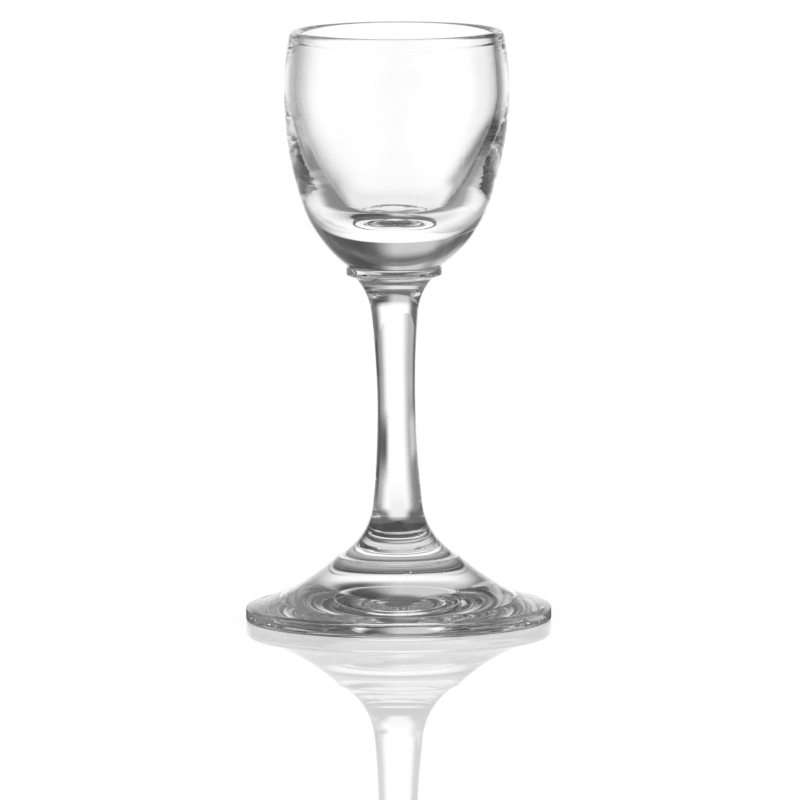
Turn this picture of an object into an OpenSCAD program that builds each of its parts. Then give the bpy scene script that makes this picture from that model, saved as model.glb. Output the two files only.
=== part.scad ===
// Cordial glass: a small stemmed glass that stands on a round foot.
// Four solid pieces of clear glass are fused face to face on one upright axis:
// a thick-walled bowl, the collar disc under it, a waisted stem and a spreading foot.
// Each piece is turned from an outline of arcs and straight lines. Lengths are in
// millimetres, and the origin is the middle of the circle that the foot stands on.

/* [Bowl] */
// Height of the bowl from the collar to the top of the rim
bowl_h = 44; // [40:0.5:50]
// Widest outside diameter of the bowl
bowl_d = 41.8; // [38:0.2:46]
// How far the side swells out beyond the rim
side_swell = 1; // [0.6:0.1:1.6]
// Radius of the bowl's side above its widest level, up to the rim
upper_side_r = 54; // [44:1:66]
// How much longer the side's radius is below that level than one arc's down to the base
side_ease = 14.6; // [10:0.2:20]
// Radius of the faster turn under the side, down to the bowl's base
shoulder_r = 24; // [18:0.5:30]
// How far the bowl's base lies inside the collar's edge
base_inset = 0.3; // [0.2:0.05:0.6]
// Thickness of the wall at the rim, which is fully round
rim_t = 1.9; // [1.6:0.1:2.2]
// Thickness of the solid glass under the floor inside, down to the collar
base_t = 9.2; // [7.6:0.2:11]
// Diameter of the flat floor inside
floor_d = 9.4; // [7:0.2:11]
// Angle of the inside wall, from level, where its slow arc gives way to the rounder bottom
bottom_turn = 56; // [48:1:64]

/* [Collar] */
// Thickness of the collar disc, from the stem to the bowl
collar_h = 2.2; // [1.6:0.1:3]
// Diameter of the collar disc
collar_d = 17.8; // [17:0.2:20]
// Height of the bevel under the collar's upright edge
collar_bevel_h = 0.8; // [0.4:0.1:1]

/* [Stem] */
// Height of the stem, from the foot to the collar
stem_h = 51.8; // [49:0.2:56]
// Height of the stem's waist above the foot
waist_h = 28.7; // [27.7:0.2:29.7]
// Diameter of the stem at its waist
waist_d = 7.1; // [6.4:0.1:8]
// Radius of the slow sweep of the shaft, above and below the waist
shaft_r = 178; // [150:2:220]
// Diameter of the stem's top, under the collar
stem_top_d = 14.2; // [12.8:0.1:15.4]
// Radius of the flare under the collar
upper_flare_r = 10.8; // [8:0.1:14]
// Diameter of the stem's base, on the foot
stem_base_d = 22.2; // [20:0.2:24]
// Radius of the flare down to the foot
lower_flare_r = 12.6; // [11:0.1:15]

/* [Foot] */
// Height of the foot, from the table to the stem
foot_h = 12; // [11:0.2:13]
// Diameter of the foot
foot_d = 56.8; // [54:0.2:60]
// Width of the narrow ledge round the stem's lower end
ledge_w = 0.25; // [0.15:0.05:0.5]
// Radius of the hollow sweep of the foot's top
foot_sweep_r = 36.4; // [32:0.2:48]
// Height of the foot's edge
foot_edge_h = 2.9; // [2.4:0.1:3.4]
// Diameter of the hollow in the underside, inside the ring that the foot stands on
hollow_d = 41; // [36:0.5:46]
// Depth of the small step at the hollow's edge
hollow_step = 0.25; // [0.1:0.05:0.4]
// Further depth of the hollow's dome, from the step to the axis
hollow_dome = 2.45; // [2:0.05:3]

/* [Edges] */
// Radius of the small rounding of the collar's and the ledge's edges
seam_r = 0.2; // [0.1:0.05:0.3]
// Radius of the rounding at the top of the foot's edge
foot_top_round_r = 1; // [0.6:0.1:1.4]
// Radius of the rounding at the bottom of the foot's edge
foot_low_round_r = 0.5; // [0.3:0.1:0.9]

/* [Hidden] */
// Colour of clear glass, with its opacity
glass_colour = [0.85, 0.9, 0.92, 0.6];
// How far the middle of an arc's step may lie from the true arc, and the widest angle of a step
arc_sag = 0.008;
widest_step = 30;
full_turn = 360;
// Facets round the axis in a preview; the solids are truly round
turn_facets = 128;

// Heights of the fused faces and of the rim above the table
stem_z = foot_h;
collar_z = stem_z + stem_h;
bowl_z = collar_z + collar_h;
glass_h = bowl_z + bowl_h;

// Rim: a half round between the mouth and the side
rim_r = rim_t / 2;
rim_centre = [bowl_d / 2 - side_swell - rim_r, glass_h - rim_r];
mouth_x = rim_centre.x - rim_r;
// Side: two arcs that meet upright at the widest level, the upper of them touching the rim's round
upper_side_x = bowl_d / 2 - upper_side_r;
side_rise = sqrt(pow(upper_side_r - rim_r, 2) - pow(rim_centre.x - upper_side_x, 2));
upper_side_centre = [upper_side_x, rim_centre.y - side_rise];
rim_angle = angle_of(rim_centre - upper_side_centre);
base_edge = [collar_d / 2 - base_inset, bowl_z + seam_r];
lower_side_r = upright_arc_r(bowl_d / 2 - base_edge.x, upper_side_centre.y - base_edge.y) + side_ease;
lower_side_centre = [bowl_d / 2 - lower_side_r, upper_side_centre.y];
// Shoulder: an arc inside the side's, touching it, down to a small bevel at the base
shoulder_centre = meet(lower_side_centre, lower_side_r - shoulder_r, base_edge, shoulder_r);
shoulder_turn = angle_of(shoulder_centre - lower_side_centre);
base_angle = angle_of(base_edge - shoulder_centre);
// Cavity: an upright wall from the rim to the widest level, a slow arc, and a rounder one to the flat floor
floor_z = bowl_z + base_t;
floor_drop = upper_side_centre.y - floor_z;
floor_reach = mouth_x - floor_d / 2;
turn_excess = sin(bottom_turn) + cos(bottom_turn) - 1;
cavity_r = (floor_drop * sin(bottom_turn) - floor_reach * (1 - cos(bottom_turn))) / turn_excess;
cavity_centre = [mouth_x - cavity_r, upper_side_centre.y];
bottom_r = (floor_reach * cos(bottom_turn) - floor_drop * (1 - sin(bottom_turn))) / turn_excess;
bottom_centre = [floor_d / 2, floor_z + bottom_r];
bottom_angle = bottom_turn - 90;

// Shaft: one arc that is upright at the waist, and a tighter arc touching it at either end
shaft_centre = [waist_d / 2 + shaft_r, stem_z + waist_h];
stem_top = [stem_top_d / 2, collar_z];
upper_centre = meet(shaft_centre, shaft_r - upper_flare_r, stem_top, upper_flare_r);
upper_turn = angle_of(upper_centre - shaft_centre);
upper_end = angle_of(stem_top - upper_centre);
stem_base = [stem_base_d / 2, stem_z];
lower_centre = meet(stem_base, lower_flare_r, shaft_centre, shaft_r - lower_flare_r);
lower_turn = angle_of(lower_centre - shaft_centre) + full_turn;
base_turn = angle_of(stem_base - lower_centre) + full_turn;

// Foot: an edge rounded above and below, and a hollow arc from it up to the ledge
foot_round_centre = [foot_d / 2 - foot_top_round_r, foot_edge_h - foot_top_round_r];
ledge_round_centre = [stem_base.x + ledge_w - seam_r, foot_h - seam_r];
sweep_start = ledge_round_centre + [seam_r, 0];
sweep_centre = meet(sweep_start, foot_sweep_r, foot_round_centre, foot_sweep_r + foot_top_round_r);
// Hollow underneath: a small bevelled step, and a wide dome from its top to the axis
hollow_top = [hollow_d / 2 - hollow_step, hollow_step];
dome_r = (pow(hollow_top.x, 2) + pow(hollow_dome, 2)) / (2 * hollow_dome);
dome_centre = [0, hollow_step + hollow_dome - dome_r];

// Direction of an angle, angle of a direction, and a vector's direction
function towards(angle) = [cos(angle), sin(angle)];
function angle_of(v) = atan2(v.y, v.x);
function unit(v) = v / norm(v);

// Radius of the arc that starts upright and goes in by one length over a height
function upright_arc_r(inwards, height) = (pow(inwards, 2) + pow(height, 2)) / (2 * inwards);

// The point that lies at one distance from p and at another from q, left of the way from p to q
function meet(p, from_p, q, from_q) =
    let (
        gap = norm(q - p),
        along = (pow(from_p, 2) - pow(from_q, 2) + pow(gap, 2)) / (2 * gap),
        way = unit(q - p)
    )
    p + along * way + sqrt(pow(from_p, 2) - pow(along, 2)) * [-way.y, way.x];

// Steps of an arc, from how far each may lie from it
function arc_steps(r, sweep) = ceil(abs(sweep) / min(widest_step, 2 * acos(1 - min(arc_sag / r, 1))));

// Points along an arc about a centre, with both its ends
function arc(centre, r, from, to) =
    let (steps = arc_steps(r, to - from))
    [for (i = [0:steps]) centre + r * towards(from + (to - from) * i / steps)];

// Points of the rounding of a corner that lies between two other points
function rounded(before, corner, after, r) =
    let (
        a = unit(before - corner),
        b = unit(after - corner),
        half = acos(a * b) / 2,
        centre = corner + unit(a + b) * r / sin(half),
        from = angle_of(corner + a * r / tan(half) - centre),
        to = angle_of(corner + b * r / tan(half) - centre),
        sweep = (to - from + 1.5 * full_turn) % full_turn - full_turn / 2
    )
    arc(centre, r, from, from + sweep);

// Turns an outline, given as points from the axis round to the axis, into a solid
module turned(outline) {
    color(glass_colour) rotate_extrude($fn = turn_facets) polygon(outline);
}

module bowl() {
    turned(concat(
        [[0, bowl_z], base_edge - [seam_r, seam_r]],
        arc(shoulder_centre, shoulder_r, base_angle, shoulder_turn),
        arc(lower_side_centre, lower_side_r, shoulder_turn, 0),
        arc(upper_side_centre, upper_side_r, 0, rim_angle),
        arc(rim_centre, rim_r, rim_angle, 90),
        arc(rim_centre, rim_r, 90, 180),
        arc(cavity_centre, cavity_r, 0, bottom_angle),
        arc(bottom_centre, bottom_r, bottom_angle, -90),
        [[0, floor_z]]
    ));
}

module collar() {
    collar_x = collar_d / 2;
    edge_low = [collar_x, collar_z + collar_bevel_h];
    edge_high = [collar_x, bowl_z];
    turned(concat(
        [[0, collar_z], stem_top],
        rounded(stem_top, edge_low, edge_high, seam_r),
        rounded(edge_low, edge_high, [0, bowl_z], seam_r),
        [[0, bowl_z]]
    ));
}

module stem() {
    turned(concat(
        [[0, stem_z]],
        arc(lower_centre, lower_flare_r, base_turn, lower_turn),
        arc(shaft_centre, shaft_r, lower_turn, upper_turn),
        arc(upper_centre, upper_flare_r, upper_turn, upper_end),
        [[0, collar_z]]
    ));
}

module foot() {
    hollow_edge = [hollow_d / 2, 0];
    edge_low = [foot_d / 2, 0];
    edge_high = foot_round_centre + [foot_top_round_r, 0];
    turned(concat(
        arc(dome_centre, dome_r, 90, angle_of(hollow_top - dome_centre)),
        rounded(hollow_top, hollow_edge, edge_low, seam_r),
        rounded(hollow_edge, edge_low, edge_high, foot_low_round_r),
        arc(foot_round_centre, foot_top_round_r, 0, angle_of(sweep_centre - foot_round_centre)),
        arc(
            sweep_centre,
            foot_sweep_r,
            angle_of(foot_round_centre - sweep_centre),
            angle_of(sweep_start - sweep_centre)
        ),
        arc(ledge_round_centre, seam_r, 0, 90),
        [[0, foot_h]]
    ));
}

bowl();
collar();
stem();
foot();
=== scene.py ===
"""Cordial glass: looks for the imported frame. Four turned pieces of clear glass replace the four CAD nodes."""

import math
from collections import namedtuple

import bmesh
import bpy
from mathutils import Matrix, Vector, noise


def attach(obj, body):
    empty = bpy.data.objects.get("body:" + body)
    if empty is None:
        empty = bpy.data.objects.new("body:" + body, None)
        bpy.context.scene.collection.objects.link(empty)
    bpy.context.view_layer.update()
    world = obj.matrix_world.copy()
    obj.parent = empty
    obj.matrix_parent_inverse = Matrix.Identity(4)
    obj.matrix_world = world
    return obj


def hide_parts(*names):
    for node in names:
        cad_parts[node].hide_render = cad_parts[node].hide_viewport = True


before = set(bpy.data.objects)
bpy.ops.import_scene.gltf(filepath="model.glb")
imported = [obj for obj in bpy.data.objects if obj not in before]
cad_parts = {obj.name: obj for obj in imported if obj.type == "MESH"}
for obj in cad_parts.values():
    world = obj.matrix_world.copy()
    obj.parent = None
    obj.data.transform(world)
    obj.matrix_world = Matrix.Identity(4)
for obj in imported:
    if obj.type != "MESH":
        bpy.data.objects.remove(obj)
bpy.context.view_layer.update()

# Sizes of the object in millimetres, the same as the CAD source has
MM = 0.001
BOWL_H, BOWL_D, SIDE_SWELL, UPPER_SIDE_R, SIDE_EASE = 44.0, 41.8, 1.0, 54.0, 14.6
SHOULDER_R, BASE_INSET, RIM_T = 24.0, 0.3, 1.9
BASE_T, FLOOR_D, BOTTOM_TURN = 9.2, 9.4, 56.0
COLLAR_H, COLLAR_D, COLLAR_BEVEL_H = 2.2, 17.8, 0.8
STEM_H, WAIST_H, WAIST_D, SHAFT_R = 51.8, 28.7, 7.1, 178.0
STEM_TOP_D, UPPER_FLARE_R, STEM_BASE_D, LOWER_FLARE_R = 14.2, 10.8, 22.2, 12.6
FOOT_H, FOOT_D, LEDGE_W, FOOT_SWEEP_R, FOOT_EDGE_H = 12.0, 56.8, 0.25, 36.4, 2.9
HOLLOW_D, HOLLOW_STEP, HOLLOW_DOME = 41.0, 0.25, 2.45
SEAM_R, FOOT_TOP_ROUND_R, FOOT_LOW_ROUND_R = 0.2, 1.0, 0.5

# How finely the outlines and the turns are cut, in millimetres and degrees
STEP_LENGTH = 0.4
RIPPLE_STEP = 0.07
WALL_STEP = 0.22
RIM_STEP = 0.08
STEP_ANGLE = 4.0
TURNS = {"bowl": 288, "collar": 240, "stem": 240, "foot": 400}
SEAM_STEP, SEAM_STEPS = 0.375, 10
SAME_PLACE = 1e-6


# Plane geometry of the outlines
def towards(angle):
    a = math.radians(angle)
    return Vector((math.cos(a), math.sin(a)))


def angle_of(v):
    return math.degrees(math.atan2(v.y, v.x))


def meet(p, from_p, q, from_q):
    """The point at one distance from p and another from q, left of the way from p to q."""
    gap = (q - p).length
    along = (from_p ** 2 - from_q ** 2 + gap ** 2) / (2 * gap)
    way = (q - p) / gap
    return p + along * way + math.sqrt(from_p ** 2 - along ** 2) * Vector((-way.y, way.x))


def arc(centre, r, start, end, step=STEP_LENGTH):
    steps = max(1, math.ceil(max(abs(end - start) / STEP_ANGLE, math.radians(abs(end - start)) * r / step)))
    return [centre + r * towards(start + (end - start) * i / steps) for i in range(steps + 1)]


def line(a, b, step=STEP_LENGTH):
    a, b = Vector(a), Vector(b)
    steps = max(1, math.ceil((b - a).length / step))
    return [a.lerp(b, i / steps) for i in range(steps + 1)]


def rounded(before, corner, after, r):
    """The rounding of a corner that lies between two other points."""
    before, corner, after = Vector(before), Vector(corner), Vector(after)
    a, b = (before - corner).normalized(), (after - corner).normalized()
    half = math.acos(a.dot(b)) / 2
    centre = corner + (a + b).normalized() * r / math.sin(half)
    start = angle_of(corner + a * r / math.tan(half) - centre)
    end = angle_of(corner + b * r / math.tan(half) - centre)
    sweep = (end - start + 540) % 360 - 180
    return arc(centre, r, start, start + sweep)


# Places worked out from the sizes
STEM_Z = FOOT_H
COLLAR_Z = STEM_Z + STEM_H
BOWL_Z = COLLAR_Z + COLLAR_H
GLASS_H = BOWL_Z + BOWL_H
RIM_R = RIM_T / 2
RIM_C = Vector((BOWL_D / 2 - SIDE_SWELL - RIM_R, GLASS_H - RIM_R))
MOUTH_X = RIM_C.x - RIM_R
UPPER_X = BOWL_D / 2 - UPPER_SIDE_R
WIDEST_Z = RIM_C.y - math.sqrt((UPPER_SIDE_R - RIM_R) ** 2 - (RIM_C.x - UPPER_X) ** 2)
UPPER_C = Vector((UPPER_X, WIDEST_Z))
RIM_ANGLE = angle_of(RIM_C - UPPER_C)
BASE_EDGE = Vector((COLLAR_D / 2 - BASE_INSET, BOWL_Z + SEAM_R))
# The bead inside the rim: thickness, how far it reaches down, and the length over which it fades
BEAD_THICK, BEAD_LOW, BEAD_FADE = 0.27, 1.8, 0.7
BEAD_END = GLASS_H - BEAD_LOW - BEAD_FADE


def upright_arc_r(inwards, height):
    return (inwards ** 2 + height ** 2) / (2 * inwards)


LOWER_R = upright_arc_r(BOWL_D / 2 - BASE_EDGE.x, WIDEST_Z - BASE_EDGE.y) + SIDE_EASE
LOWER_C = Vector((BOWL_D / 2 - LOWER_R, WIDEST_Z))
SHOULDER_C = meet(LOWER_C, LOWER_R - SHOULDER_R, BASE_EDGE, SHOULDER_R)
SHOULDER_TURN = angle_of(SHOULDER_C - LOWER_C)
BASE_ANGLE = angle_of(BASE_EDGE - SHOULDER_C)
FLOOR_Z = BOWL_Z + BASE_T
FLOOR_DROP = WIDEST_Z - FLOOR_Z
FLOOR_REACH = MOUTH_X - FLOOR_D / 2
TURN_SIN, TURN_COS = towards(BOTTOM_TURN).y, towards(BOTTOM_TURN).x
TURN_EXCESS = TURN_SIN + TURN_COS - 1
CAVITY_R = (FLOOR_DROP * TURN_SIN - FLOOR_REACH * (1 - TURN_COS)) / TURN_EXCESS
CAVITY_C = Vector((MOUTH_X - CAVITY_R, WIDEST_Z))
BOTTOM_R = (FLOOR_REACH * TURN_COS - FLOOR_DROP * (1 - TURN_SIN)) / TURN_EXCESS
BOTTOM_C = Vector((FLOOR_D / 2, FLOOR_Z + BOTTOM_R))
BOTTOM_ANGLE = BOTTOM_TURN - 90
SHAFT_C = Vector((WAIST_D / 2 + SHAFT_R, STEM_Z + WAIST_H))
STEM_TOP = Vector((STEM_TOP_D / 2, COLLAR_Z))
UPPER_FLARE_C = meet(SHAFT_C, SHAFT_R - UPPER_FLARE_R, STEM_TOP, UPPER_FLARE_R)
UPPER_TURN = angle_of(UPPER_FLARE_C - SHAFT_C)
UPPER_END = angle_of(STEM_TOP - UPPER_FLARE_C)
STEM_BASE = Vector((STEM_BASE_D / 2, STEM_Z))
LOWER_FLARE_C = meet(STEM_BASE, LOWER_FLARE_R, SHAFT_C, SHAFT_R - LOWER_FLARE_R)
LOWER_TURN = angle_of(LOWER_FLARE_C - SHAFT_C) + 360
BASE_TURN = angle_of(STEM_BASE - LOWER_FLARE_C) + 360
FOOT_ROUND_C = Vector((FOOT_D / 2 - FOOT_TOP_ROUND_R, FOOT_EDGE_H - FOOT_TOP_ROUND_R))
LEDGE_C = Vector((STEM_BASE.x + LEDGE_W - SEAM_R, FOOT_H - SEAM_R))
SWEEP_START = LEDGE_C + Vector((SEAM_R, 0))
SWEEP_C = meet(SWEEP_START, FOOT_SWEEP_R, FOOT_ROUND_C, FOOT_SWEEP_R + FOOT_TOP_ROUND_R)
HOLLOW_TOP = Vector((HOLLOW_D / 2 - HOLLOW_STEP, HOLLOW_STEP))
DOME_R = (HOLLOW_TOP.x ** 2 + HOLLOW_DOME ** 2) / (2 * HOLLOW_DOME)
DOME_C = Vector((0, HOLLOW_STEP + HOLLOW_DOME - DOME_R))


# A spot of an outline: its place, its kind of surface, and how far it lies from the kind's start and end
Spot = namedtuple("Spot", "at kind along left")
FUSED = "fused"


def chain(*runs):
    """Joins runs of points, each with its kind, into the spots of one outline."""
    joined = []
    for points, kind in runs:
        points = [Vector(p) for p in points]
        if joined and joined[-1][1] == kind:
            joined[-1][0].extend(points[1:])
        else:
            joined.append((points, kind))
    spots = []
    for points, kind in joined:
        whole = sum((b - a).length for a, b in zip(points, points[1:]))
        along = 0
        for i, p in enumerate(points):
            if i:
                along += (p - points[i - 1]).length
            if not spots or (p - spots[-1].at).length > SAME_PLACE:
                spots.append(Spot(p, kind, along, whole - along))
    return spots


def bowl_outline():
    base = BASE_EDGE - Vector((SEAM_R, SEAM_R))
    return chain(
        ([(0, BOWL_Z), base], FUSED),
        (arc(SHOULDER_C, SHOULDER_R, BASE_ANGLE, SHOULDER_TURN), "outside"),
        (arc(LOWER_C, LOWER_R, SHOULDER_TURN, 0), "outside"),
        (arc(UPPER_C, UPPER_SIDE_R, 0, RIM_ANGLE), "outside"),
        (arc(RIM_C, RIM_R, RIM_ANGLE, 90, RIM_STEP), "rim"),
        (arc(RIM_C, RIM_R, 90, 180, RIM_STEP), "bead"),
        (line((MOUTH_X, RIM_C.y), (MOUTH_X, BEAD_END), RIM_STEP), "bead_wall"),
        (line((MOUTH_X, BEAD_END), (MOUTH_X, WIDEST_Z), WALL_STEP), "inside"),
        (arc(CAVITY_C, CAVITY_R, 0, BOTTOM_ANGLE, WALL_STEP), "inside"),
        (arc(BOTTOM_C, BOTTOM_R, BOTTOM_ANGLE, -90, WALL_STEP), "bottom"),
        (line((BOTTOM_C.x, FLOOR_Z), (0, FLOOR_Z)), "floor"),
    )


def collar_outline():
    low = (COLLAR_D / 2, COLLAR_Z + COLLAR_BEVEL_H)
    high = (COLLAR_D / 2, BOWL_Z)
    bevel = rounded(STEM_TOP, low, high, SEAM_R)
    top = rounded(low, high, (0, BOWL_Z), SEAM_R)
    inner = (BASE_EDGE.x - SEAM_R, BOWL_Z)
    return chain(
        ([(0, COLLAR_Z), STEM_TOP], FUSED),
        (line(STEM_TOP, bevel[0]), "collar"),
        (bevel, "collar"),
        (line(bevel[-1], top[0]), "collar"),
        (top, "collar"),
        (line(top[-1], inner), "collar"),
        ([inner, (0, BOWL_Z)], FUSED),
    )


def stem_outline():
    return chain(
        ([(0, STEM_Z), STEM_BASE], FUSED),
        (arc(LOWER_FLARE_C, LOWER_FLARE_R, BASE_TURN, LOWER_TURN, RIPPLE_STEP), "flare"),
        (arc(SHAFT_C, SHAFT_R, LOWER_TURN, UPPER_TURN), "shaft"),
        (arc(UPPER_FLARE_C, UPPER_FLARE_R, UPPER_TURN, UPPER_END, RIPPLE_STEP), "neck"),
        ([STEM_TOP, (0, COLLAR_Z)], FUSED),
    )


def foot_outline():
    hollow_edge, edge_low = (HOLLOW_D / 2, 0), (FOOT_D / 2, 0)
    edge_high = FOOT_ROUND_C + Vector((FOOT_TOP_ROUND_R, 0))
    lip = rounded(HOLLOW_TOP, hollow_edge, edge_low, SEAM_R)
    low = rounded(hollow_edge, edge_low, edge_high, FOOT_LOW_ROUND_R)
    sweep_from, sweep_to = angle_of(FOOT_ROUND_C - SWEEP_C), angle_of(SWEEP_START - SWEEP_C)
    return chain(
        (arc(DOME_C, DOME_R, 90, angle_of(HOLLOW_TOP - DOME_C)), "under"),
        (line(HOLLOW_TOP, lip[0]), "lip"),
        (lip, "lip"),
        (line(lip[-1], low[0]), "stand"),
        (low, "edge"),
        (line(low[-1], edge_high), "edge"),
        (arc(FOOT_ROUND_C, FOOT_TOP_ROUND_R, 0, angle_of(SWEEP_C - FOOT_ROUND_C)), "edge"),
        (arc(SWEEP_C, FOOT_SWEEP_R, sweep_from, sweep_to, WALL_STEP), "sweep"),
        (arc(LEDGE_C, SEAM_R, 0, 90), "ledge"),
        (line((LEDGE_C.x, FOOT_H), STEM_BASE), "ledge"),
        ([STEM_BASE, (0, FOOT_H)], FUSED),
    )


# Surface, in millimetres outwards along the outline's normal.
# Faint rings left by the cooling mould: wave length, slope and turn
RINGS = {
    "flare": ((1.37, 0.006, 2.1), (0.83, 0.005, 5.0)),
    "neck": ((1.9, 0.004, 1.0), (1.1, 0.004, 3.3)),
    "sweep": ((2.9, 0.002, 0.3),),
    "inside": ((1.9, 0.0025, 1.7), (1.05, 0.003, 0.2), (0.74, 0.003, 2.6)),
    "bottom": ((1.7, 0.006, 0.9), (1.0, 0.006, 3.0)),
    "outside": ((7.3, 0.0012, 2.0), (2.6, 0.0012, 5.5)),
}
RING_SWAY, SMALL_RING_SWAY = 0.5, 0.25
# Rings and waves fade towards the ends of their surface, and rings on the flare also towards the shaft
END_FADE = {"flare": 0.7, "neck": 0.7, "bottom": 0.8}
WAVE_END = 2.4
FLARE_CALM = 3.4
# Slow waves round the glass: height on each surface, the second wave's share, and how both turn with height
LOBES = {"inside": 0.012, "outside": 0.01, "shaft": 0.006, "sweep": 0.004}
SMALL_LOBE, LOBE_RISE, SMALL_LOBE_RISE, SMALL_LOBE_TURN = 0.6, 9.0, 7.0, 1.0
# Grain: height and size, and how much longer it is across than upwards
GRAIN = {"inside": (0.0022, 0.8), "outside": (0.0015, 1.6), "shaft": (0.001, 2.0)}
GRAIN_STRETCH = 2.2
# Mould seams: where they run, how high they stand, half their width, and the unevenness along them
SEAM_ANGLES = (-52.0, 128.0)
SEAM_HEIGHT = {"flare": 0.022, "shaft": 0.008, "outside": 0.006, "sweep": 0.010, "neck": 0.008}
SEAM_HALF = 0.28
SEAM_LEAST, SEAM_GRAIN, SEAM_GRAIN_TURN, SEAM_GRAIN_PLACE = 0.6, 0.8, 40.0, 3.0
# The mark of the shears: place, reach along each axis, height and grain
SHEAR_AT, SHEAR_REACH, SHEAR_HEIGHT = (1.6, -13.0, 11.0), (4.6, 1.1, 1.2), 0.03
SHEAR_GRAIN = (0.7, 0.3, 0.3)
# Chill grooves round the lower flare and the top of the foot: height, depth and half width
GROOVES = (
    (16.9, 0.005, 0.15),
    (14.0, 0.006, 0.15),
    (12.9, 0.003, 0.14),
    (11.0, 0.006, 0.16),
    (10.0, 0.004, 0.16),
)
GROOVE_SWAY, GROOVE_UNEVEN, GROOVE_TURN, GROOVE_REACH = 0.06, 0.5, 5.0, 3.0
# The wall is thinner about its widest place: how much, how high, and how far this fades down and up
WALL_THIN, WALL_THIN_Z, WALL_THIN_DOWN, WALL_THIN_UP = 0.6, 98.0, 10.0, 8.0
# The middle of the drawn glass wanders a little to the side: height and offset
WANDER = (
    (0, 0.15),
    (12, 0.14),
    (22, 0.06),
    (38, -0.08),
    (52, -0.26),
    (62, -0.42),
    (65, -0.42),
    (72, -0.12),
    (84, -0.02),
    (96, 0.18),
    (110, 0.24),
)


def soft(x):
    """An eased step from 0 to 1."""
    x = min(max(x, 0), 1)
    return x * x * (3 - 2 * x)


def away(angle, other):
    """Degrees between two directions about the axis."""
    return abs((angle - other + 180) % 360 - 180)


def wander(z):
    """Sideways offset of the middle at a height, eased from place to place."""
    for (low, a), (high, b) in zip(WANDER, WANDER[1:]):
        if z <= high:
            return a + (b - a) * soft((z - low) / (high - low))
    return WANDER[-1][1]


def wall_thin(z):
    off = z - WALL_THIN_Z
    return -WALL_THIN * math.exp(-(off / (WALL_THIN_UP if off > 0 else WALL_THIN_DOWN)) ** 2)


def bead_wave(spot):
    """The bead inside the rim grows out of the rim's top and fades into the wall."""
    thin = wall_thin(spot.at.y)
    if spot.kind == "bead":
        return (BEAD_THICK + thin) * soft(math.sin(spot.along / RIM_R))
    return BEAD_THICK * (1 - soft((GLASS_H - spot.at.y - BEAD_LOW) / BEAD_FADE)) + thin


def ring_wave(spot, a):
    fade = 1
    if spot.kind == "sweep":
        fade = (spot.along / (spot.along + spot.left)) ** 2
    elif spot.kind == "flare":
        fade = soft(spot.left / FLARE_CALM)
    out = 0.0
    for length, slope, turn in RINGS.get(spot.kind, ()):
        sway = RING_SWAY * math.sin(a + turn) + SMALL_RING_SWAY * math.sin(3 * a + 2 * turn)
        out += fade * slope * length / math.tau * math.sin(math.tau * spot.along / length + turn + sway)
    return out


def lobe_wave(kind, a, z):
    small = SMALL_LOBE * math.sin(3 * a - z / SMALL_LOBE_RISE + SMALL_LOBE_TURN)
    return LOBES.get(kind, 0) * (math.sin(2 * a + z / LOBE_RISE) + small)


def grain_wave(kind, x, y, z):
    height, size = GRAIN[kind]
    return height * noise.noise(Vector((x / size / GRAIN_STRETCH, y / size / GRAIN_STRETCH, z / size)))


def groove_wave(a, z):
    out = 0.0
    for height, deep, half in GROOVES:
        off = (z - height - GROOVE_SWAY * math.sin(2 * a + height)) / half
        if abs(off) < GROOVE_REACH:
            out -= deep * (1 + GROOVE_UNEVEN * math.sin(3 * a + GROOVE_TURN * height)) * math.exp(-off * off)
    return out


def seam_wave(spot, angle):
    ridge = max(1 - math.radians(min(away(angle, s) for s in SEAM_ANGLES)) * spot.at.x / SEAM_HALF, 0)
    if not ridge or spot.kind not in SEAM_HEIGHT:
        return 0.0
    grain = noise.noise(Vector((spot.at.y / SEAM_GRAIN, angle / SEAM_GRAIN_TURN, SEAM_GRAIN_PLACE)))
    return SEAM_HEIGHT[spot.kind] * soft(ridge) * (SEAM_LEAST + grain)


def shear_wave(*place):
    off = Vector([(p - at) / reach for p, at, reach in zip(place, SHEAR_AT, SHEAR_REACH)])
    if off.length >= 1:
        return 0.0
    grain = noise.noise(Vector([p / size for p, size in zip(place, SHEAR_GRAIN)]))
    return SHEAR_HEIGHT * soft(1 - off.length) * grain


def wave(spot, angle):
    """How far the surface stands out from the plain outline at a spot and an angle about the axis."""
    kind = spot.kind
    if kind in ("bead", "bead_wall"):
        return bead_wave(spot)
    if kind not in RINGS and kind not in LOBES:
        return 0.0
    a = math.radians(angle)
    x, y, z = spot.at.x * math.cos(a), spot.at.x * math.sin(a), spot.at.y
    out = ring_wave(spot, a) + lobe_wave(kind, a, z)
    if kind in GRAIN:
        out += grain_wave(kind, x, y, z)
    if kind in ("flare", "sweep"):
        out += groove_wave(a, z) + shear_wave(x, y, z)
    out += seam_wave(spot, angle)
    out *= soft(min(spot.along, spot.left) / END_FADE.get(kind, WAVE_END))
    return out + wall_thin(z) if kind in ("inside", "bottom") else out


def turn_angles(turns):
    """Even steps round the glass, and finer ones across the mould seams."""
    even = [360 * k / turns for k in range(turns)]
    near = [(s + SEAM_STEP * k) % 360 for s in SEAM_ANGLES for k in range(-SEAM_STEPS, SEAM_STEPS + 1)]
    reach = SEAM_STEP * (SEAM_STEPS + 0.5)
    return sorted([a for a in even if min(away(a, s) for s in SEAM_ANGLES) > reach] + near)


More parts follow.
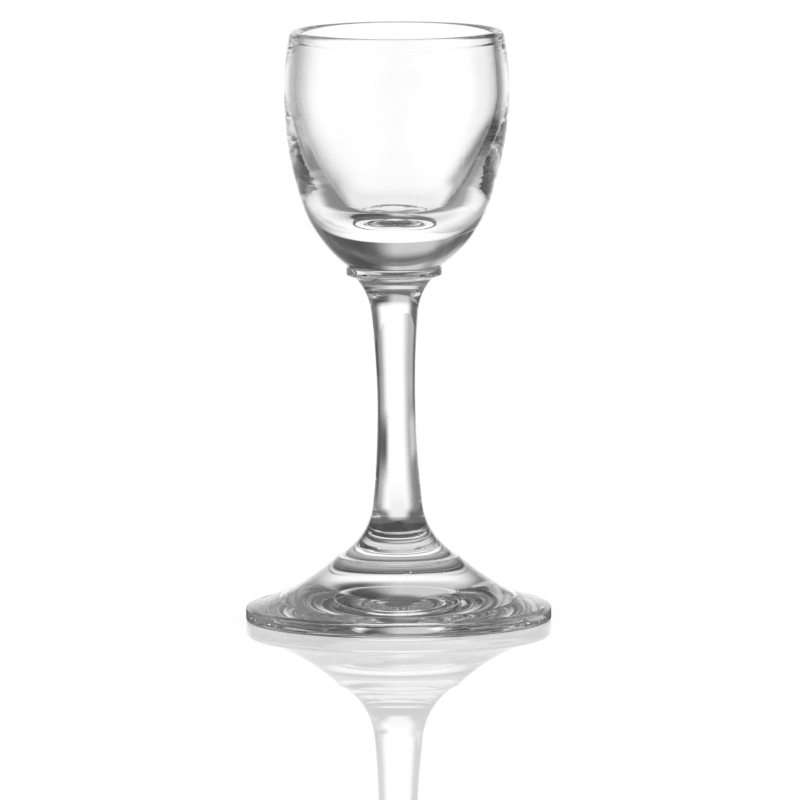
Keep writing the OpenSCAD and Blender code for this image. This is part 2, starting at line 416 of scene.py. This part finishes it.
# Seeds, tiny air bubbles in the glass: piece, place in millimetres and radius
SEEDS = (
    ("bowl", (-17.2, -8.4, 91.0), 0.11),
    ("bowl", (-15.6, -9.5, 89.4), 0.08),
    ("bowl", (-13.4, -6.8, 74.5), 0.14),
    ("bowl", (14.9, -9.8, 86.3), 0.07),
    ("bowl", (6.1, 12.4, 73.2), 0.10),
    ("stem", (2.4, -2.1, 22.6), 0.12),
    ("stem", (-0.9, 1.4, 38.0), 0.07),
    ("stem", (3.9, -4.4, 15.0), 0.10),
    ("foot", (13.9, -11.0, 4.1), 0.11),
    ("foot", (15.8, -9.6, 3.9), 0.09),
    ("foot", (9.4, 14.8, 4.4), 0.12),
    ("foot", (-19.6, -6.0, 3.4), 0.08),
    ("foot", (-4.8, -19.4, 3.2), 0.10),
    ("foot", (22.4, 3.3, 2.6), 0.07),
)
SEED_CUTS = 3
SHARP_ANGLE = 25


def add_seeds(mesh, node):
    """Each seed is a closed skin that faces its own middle, as the glass around it does."""
    seeds = [(Vector(at) * MM, r * MM) for name, at, r in SEEDS if name == node]
    work = bmesh.new()
    work.from_mesh(mesh)
    for at, r in seeds:
        place = Matrix.Translation(at)
        made = bmesh.ops.create_icosphere(work, subdivisions=SEED_CUTS, radius=r, matrix=place)
        faces = {f for v in made["verts"] for f in v.link_faces}
        for f in faces:
            f.normal_flip()
            f.material_index = 0
    work.to_mesh(mesh)
    work.free()


def turned(name, spots, angles, materials):
    """Turns an outline about the axis into a closed mesh. Fused faces take the second material."""
    count, turns = len(spots), len(angles)
    verts, rings = [], []
    for i, spot in enumerate(spots):
        if spot.at.x < SAME_PLACE:
            verts.append((wander(spot.at.y) * MM, 0, spot.at.y * MM))
            rings.append([len(verts) - 1] * turns)
            continue
        way = (spots[min(i + 1, count - 1)].at - spots[max(i - 1, 0)].at).normalized()
        ring = []
        for angle in angles:
            out = wave(spot, angle)
            x, z = spot.at.x + way.y * out, spot.at.y - way.x * out
            ring.append(len(verts))
            a = math.radians(angle)
            verts.append(((x * math.cos(a) + wander(spot.at.y)) * MM, x * math.sin(a) * MM, z * MM))
        rings.append(ring)
    faces, kinds = [], []
    for i in range(count - 1):
        a, b = rings[i], rings[i + 1]
        for k in range(turns):
            n = (k + 1) % turns
            if a[0] == a[1]:
                face = (a[0], b[n], b[k])
            elif b[0] == b[1]:
                face = (a[k], a[n], b[0])
            else:
                face = (a[k], a[n], b[n], b[k])
            faces.append(face)
            kinds.append(int(spots[i + 1].kind == FUSED))
    mesh = bpy.data.meshes.new(name)
    mesh.from_pydata(verts, [], faces)
    mesh.update()
    for m in materials:
        mesh.materials.append(m)
    mesh.polygons.foreach_set("material_index", kinds)
    add_seeds(mesh, name.removeprefix("glass_"))
    mesh.shade_smooth()
    mesh.set_sharp_from_angle(angle=math.radians(SHARP_ANGLE))
    piece = bpy.data.objects.new(name, mesh)
    bpy.context.scene.collection.objects.link(piece)
    return piece


# Materials. Roughness stays 0, so that light which has passed the glass counts as singular in the studio.
GLASS_TINT = (0.99, 0.99, 0.99, 1)
GLASS_IOR = 1.52


def new_material(name):
    mat = bpy.data.materials.new(name)
    mat.use_nodes = True
    mat.node_tree.nodes.clear()
    return mat, mat.node_tree.nodes, mat.node_tree.links


def glass_material():
    mat, nodes, links = new_material("clear_glass")
    out = nodes.new("ShaderNodeOutputMaterial")
    shader = nodes.new("ShaderNodeBsdfPrincipled")
    shader.inputs["Base Color"].default_value = GLASS_TINT
    shader.inputs["Roughness"].default_value = 0.0
    shader.inputs["IOR"].default_value = GLASS_IOR
    shader.inputs["Transmission Weight"].default_value = 1.0
    links.new(shader.outputs["BSDF"], out.inputs["Surface"])
    return mat


def seam_material():
    """The faces where two pieces are fused meet without a surface between them."""
    mat, nodes, links = new_material("fused_seam")
    out = nodes.new("ShaderNodeOutputMaterial")
    shader = nodes.new("ShaderNodeBsdfTransparent")
    links.new(shader.outputs["BSDF"], out.inputs["Surface"])
    return mat


glass, seam = glass_material(), seam_material()
outlines = {
    "bowl": bowl_outline(),
    "collar": collar_outline(),
    "stem": stem_outline(),
    "foot": foot_outline(),
}
for node, outline in outlines.items():
    piece = turned("glass_" + node, outline, turn_angles(TURNS[node]), (glass, seam))
    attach(piece, "root")
    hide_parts(node)

# Studio: soft panes of brightness in the sky and on the floor, each painted over the ones before it.
# The glass shows them by refraction; on the floor they are painted light and painted shade, for the floor glows
# though it is no lamp. The camera, the floor's own gloss and its shadows see plain white.
scene = bpy.context.scene
Pane = namedtuple("Pane", "centre half low high fade brightness soft", defaults=(10,))
ALL_ROUND = 400
# Sky: degrees from +Y towards +X, and degrees of height
SKY_BASE = 0.16
SKY = (
    Pane(0, ALL_ROUND, -30, 38, 10, 0.16),
    Pane(180, 95, -30, 9, 5, 0.07),
    Pane(180, 46, -30, 26, 5, 0.07),
    Pane(96, 20, 8, 20, 4, 0.28),
    Pane(-50, 14, 8, 30, 6, 0.12),
    Pane(-48, 15, 22, 38, 4, 0.5, 8),
    Pane(47, 31, 15, 46, 8, 0.06),
    Pane(-11, 18, -30, 44, 8, 0.66, 8),
    Pane(-101, 16, -30, 44, 8, 0.5, 8),
    Pane(124, 16, 22, 50, 6, 0.55, 8),
    Pane(-90, 22, -30, 15, 6, 0.8),
    Pane(141, 14, -30, 10, 4, 0.65, 8),
    Pane(141, 16, 24, 40, 4, 0.7, 8),
    Pane(2, 30, -30, 14, 6, 1.1, 11),
)
# Floor: painted light and painted shade, seen only through the glass. Degrees as above, and metres from the
# glass, with the fade in decades of distance
FLOOR_BASE = 0.4
FLOOR = (
    Pane(0, ALL_ROUND, 0.0001, 0.05, 0.3, 0.14),
    Pane(0, 45, 0.0001, 0.034, 0.1, 0.07),
    Pane(61, 13, 0.075, 0.3, 0.2, 0.05, 8),
    Pane(-46, 15, 0.032, 0.24, 0.15, 0.25),
    Pane(-90, 24, 0.126, 100, 0.3, 0.95, 14),
    Pane(136, 26, 0.09, 100, 0.3, 0.95, 14),
    Pane(180, 22, 0.0001, 0.05, 0.2, 0.3, 12),
    Pane(-45, 20, 0.36, 100, 0.12, 0.5),
    Pane(41, 14, 0.32, 100, 0.12, 0.3, 7),
    Pane(62, 14, 0.1, 100, 0.15, 0.05, 8),
    Pane(-62, 12, 0.22, 100, 0.12, 0.14, 8),
    Pane(3, 23, 0.05, 100, 0.15, 1.12, 12),
    Pane(36, 16, 0.14, 0.28, 0.12, 0.05, 8),
    Pane(-45, 14, 0.145, 0.28, 0.06, 0.62, 6),
    Pane(0, 14, 0.026, 0.11, 0.15, 0.95, 7),
)


class Sums:
    """Number nodes of one material, joined by calls."""

    def __init__(self, tree):
        self.nodes, self.links = tree.nodes, tree.links

    def put(self, socket, value):
        if isinstance(value, bpy.types.NodeSocket):
            self.links.new(value, socket)
        else:
            socket.default_value = value

    def math(self, operation, *values):
        node = self.nodes.new("ShaderNodeMath")
        node.operation = operation
        for socket, value in zip(node.inputs, values):
            self.put(socket, value)
        return node.outputs[0]

    def step(self, value, start, end, rising=True):
        node = self.nodes.new("ShaderNodeMapRange")
        node.interpolation_type = "SMOOTHSTEP"
        self.put(node.inputs["Value"], value)
        self.put(node.inputs["From Min"], start)
        self.put(node.inputs["From Max"], end)
        self.put(node.inputs["To Min"], 1 - rising)
        self.put(node.inputs["To Max"], int(rising))
        return node.outputs[0]

    def mix(self, share, a, b):
        node = self.nodes.new("ShaderNodeMix")
        node.data_type = "FLOAT"
        for socket, value in zip(node.inputs[0:1] + node.inputs[2:4], (share, a, b)):
            self.put(socket, value)
        return node.outputs[0]

    def split(self, vector):
        node = self.nodes.new("ShaderNodeSeparateXYZ")
        self.links.new(vector, node.inputs[0])
        return node.outputs

    def degrees(self, operation, *values):
        return self.math("DEGREES", self.math(operation, *values))

    def painted(self, panes, base, across, along):
        """Brightness of the panes at an angle across and a height or distance along."""
        shown = base
        for pane in panes:
            share = self.math(
                "MULTIPLY",
                self.step(along, pane.low - pane.fade, pane.low + pane.fade),
                self.step(along, pane.high - pane.fade, pane.high + pane.fade, False),
            )
            if pane.half < ALL_ROUND:
                off = self.math("WRAP", self.math("SUBTRACT", across, pane.centre), 180, -180)
                off = self.math("ABSOLUTE", off)
                beside = self.step(off, pane.half - pane.soft, pane.half + pane.soft, False)
                share = self.math("MULTIPLY", share, beside)
            shown = self.mix(share, shown, pane.brightness)
        return shown


# The floor: half its width and its height in metres, and its shares of gloss and of matt white
FLOOR_HALF, FLOOR_LOW = 30.0, -0.00005
FLOOR_GLOSS, FLOOR_ROUGHNESS, FLOOR_MATT = 0.45, 0.015, 0.12


def floor_material():
    """Panes of painted light and painted shade that glow from the floor for light that comes through the glass,
    and a half glossy white floor for all other light.
    """
    mat, nodes, links = new_material("floor")
    sums = Sums(mat.node_tree)
    place = sums.split(nodes.new("ShaderNodeTexCoord").outputs["Object"])
    around = sums.degrees("ARCTAN2", place[0], place[1])
    squares = [sums.math("POWER", p, 2) for p in place[0:2]]
    decades = sums.math("LOGARITHM", sums.math("SQRT", sums.math("ADD", *squares)), 10)
    panes = [p._replace(low=math.log10(p.low), high=math.log10(p.high)) for p in FLOOR]
    # The floor glows with painted light and painted shade in panes, for light through the glass only
    shown = nodes.new("ShaderNodeEmission")
    links.new(sums.painted(panes, FLOOR_BASE, around, decades), shown.inputs["Strength"])
    white = nodes.new("ShaderNodeEmission")
    gloss = nodes.new("ShaderNodeBsdfGlossy")
    gloss.inputs["Color"].default_value = (1, 1, 1, 1)
    gloss.inputs["Roughness"].default_value = FLOOR_ROUGHNESS
    matt = nodes.new("ShaderNodeBsdfDiffuse")
    matt.inputs["Color"].default_value = (1, 1, 1, 1)
    top = nodes.new("ShaderNodeMixShader")
    top.inputs["Fac"].default_value = FLOOR_GLOSS
    links.new(white.outputs[0], top.inputs[1])
    links.new(gloss.outputs[0], top.inputs[2])
    plain = nodes.new("ShaderNodeMixShader")
    plain.inputs["Fac"].default_value = FLOOR_MATT
    links.new(top.outputs[0], plain.inputs[1])
    links.new(matt.outputs[0], plain.inputs[2])
    pick = nodes.new("ShaderNodeMixShader")
    links.new(nodes.new("ShaderNodeLightPath").outputs["Is Singular Ray"], pick.inputs["Fac"])
    links.new(plain.outputs[0], pick.inputs[1])
    links.new(shown.outputs[0], pick.inputs[2])
    out = nodes.new("ShaderNodeOutputMaterial")
    links.new(pick.outputs[0], out.inputs["Surface"])
    return mat


corners = [(x * FLOOR_HALF, y * FLOOR_HALF, FLOOR_LOW) for x, y in ((-1, -1), (1, -1), (1, 1), (-1, 1))]
mesh = bpy.data.meshes.new("floor")
mesh.from_pydata(corners, [], [(0, 1, 2, 3)])
mesh.materials.append(floor_material())
floor = bpy.data.objects.new("floor", mesh)
scene.collection.objects.link(floor)

world = bpy.data.worlds.new("studio")
scene.world = world
world.use_nodes = True
sums = Sums(world.node_tree)
way = sums.split(sums.nodes.new("ShaderNodeTexCoord").outputs["Generated"])
seen = sums.painted(SKY, SKY_BASE, sums.degrees("ARCTAN2", way[0], way[1]), sums.degrees("ARCSINE", way[2]))
glassy = sums.nodes.new("ShaderNodeLightPath").outputs["Is Singular Ray"]
backdrop = sums.nodes["Background"]
backdrop.inputs["Color"].default_value = (1, 1, 1, 1)
sums.links.new(sums.mix(glassy, 1.0, seen), backdrop.inputs["Strength"])

# The camera stands as the photographer's did, in metres, and is rolled a little
EYE, AIM = Vector((0, -2.596, 0.3366)), Vector((0.00056, 0, 0.04106))
LENS, SENSOR, ROLL, FAR = 632.8, 36.0, -0.25, 50
camera = bpy.data.objects.new("camera", bpy.data.cameras.new("camera"))
scene.collection.objects.link(camera)
scene.camera = camera
camera.data.sensor_width = SENSOR
camera.data.lens = LENS
camera.data.clip_end = FAR
camera.location = EYE
camera.rotation_mode = "QUATERNION"
look = (AIM - EYE).to_track_quat("-Z", "Y")
camera.rotation_quaternion = look @ Matrix.Rotation(math.radians(ROLL), 3, "Z").to_quaternion()

scene.view_settings.view_transform = "Standard"
# Light is thrown back inside the wall many times before it comes out near the rim
LIGHT_BOUNCES, CLEAR_BOUNCES = 48, 32
scene.cycles.max_bounces = LIGHT_BOUNCES
scene.cycles.transmission_bounces = LIGHT_BOUNCES
scene.cycles.glossy_bounces = LIGHT_BOUNCES
scene.cycles.transparent_max_bounces = CLEAR_BOUNCES
